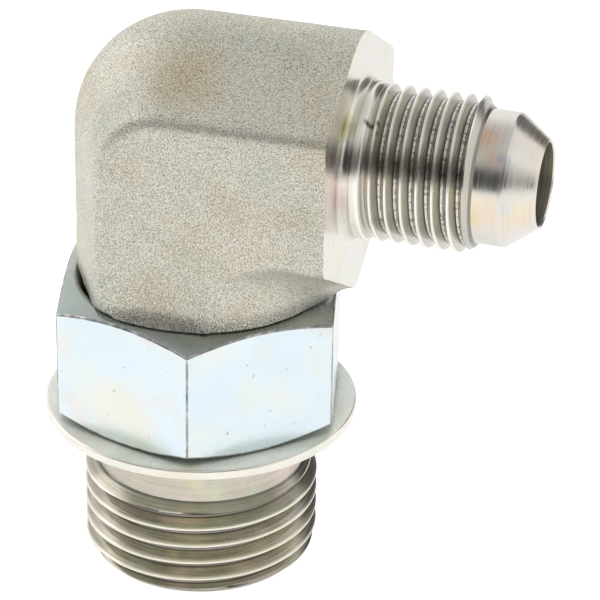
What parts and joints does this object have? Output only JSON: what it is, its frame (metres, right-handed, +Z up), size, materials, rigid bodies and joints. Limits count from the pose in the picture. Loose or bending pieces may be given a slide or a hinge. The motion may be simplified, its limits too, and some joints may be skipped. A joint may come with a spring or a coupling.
{
  "type": "hydraulic elbow adapter",
  "caption": "Ninety degree hydraulic elbow: a 37 degree flare end, and a straight thread stud with a lock nut and a backup washer.",
  "frame": {"origin": "centre of the stud's end face, where the stud bore's axis leaves it", "axes": "+Z up the stud's axis, +X out along the flare end's axis, XZ is the plane of the elbow"},
  "size_m": [0.0467, 0.0294, 0.0547],
  "materials": {
    "forged_steel": "zinc plated over a shot-blasted forging, turned ends bright",
    "nut_zinc": "bright blue-white zinc",
    "washer_zinc": "clear zinc"
  },
  "bodies": {
    "elbow": {"elbow_body": "forged_steel"},
    "washer": {"backup_washer": "washer_zinc"},
    "nut": {"lock_nut": "nut_zinc"}
  },
  "joints": [
    {"name": "washer_slide", "type": "slide", "parent": "elbow", "child": "washer", "axis": [0, 0, 1], "range_m": [-0.005, 0]},
    {"name": "nut_turn", "type": "hinge", "parent": "washer", "child": "nut", "pos_m": [0, 0, 0.02245], "axis": [0, 0, 1], "range_deg": [-990, 0]}
  ],
  "couplings": [
    {"joint": "washer_slide", "follows": "nut_turn", "m_per_rad": 0.00028876}
  ]
}
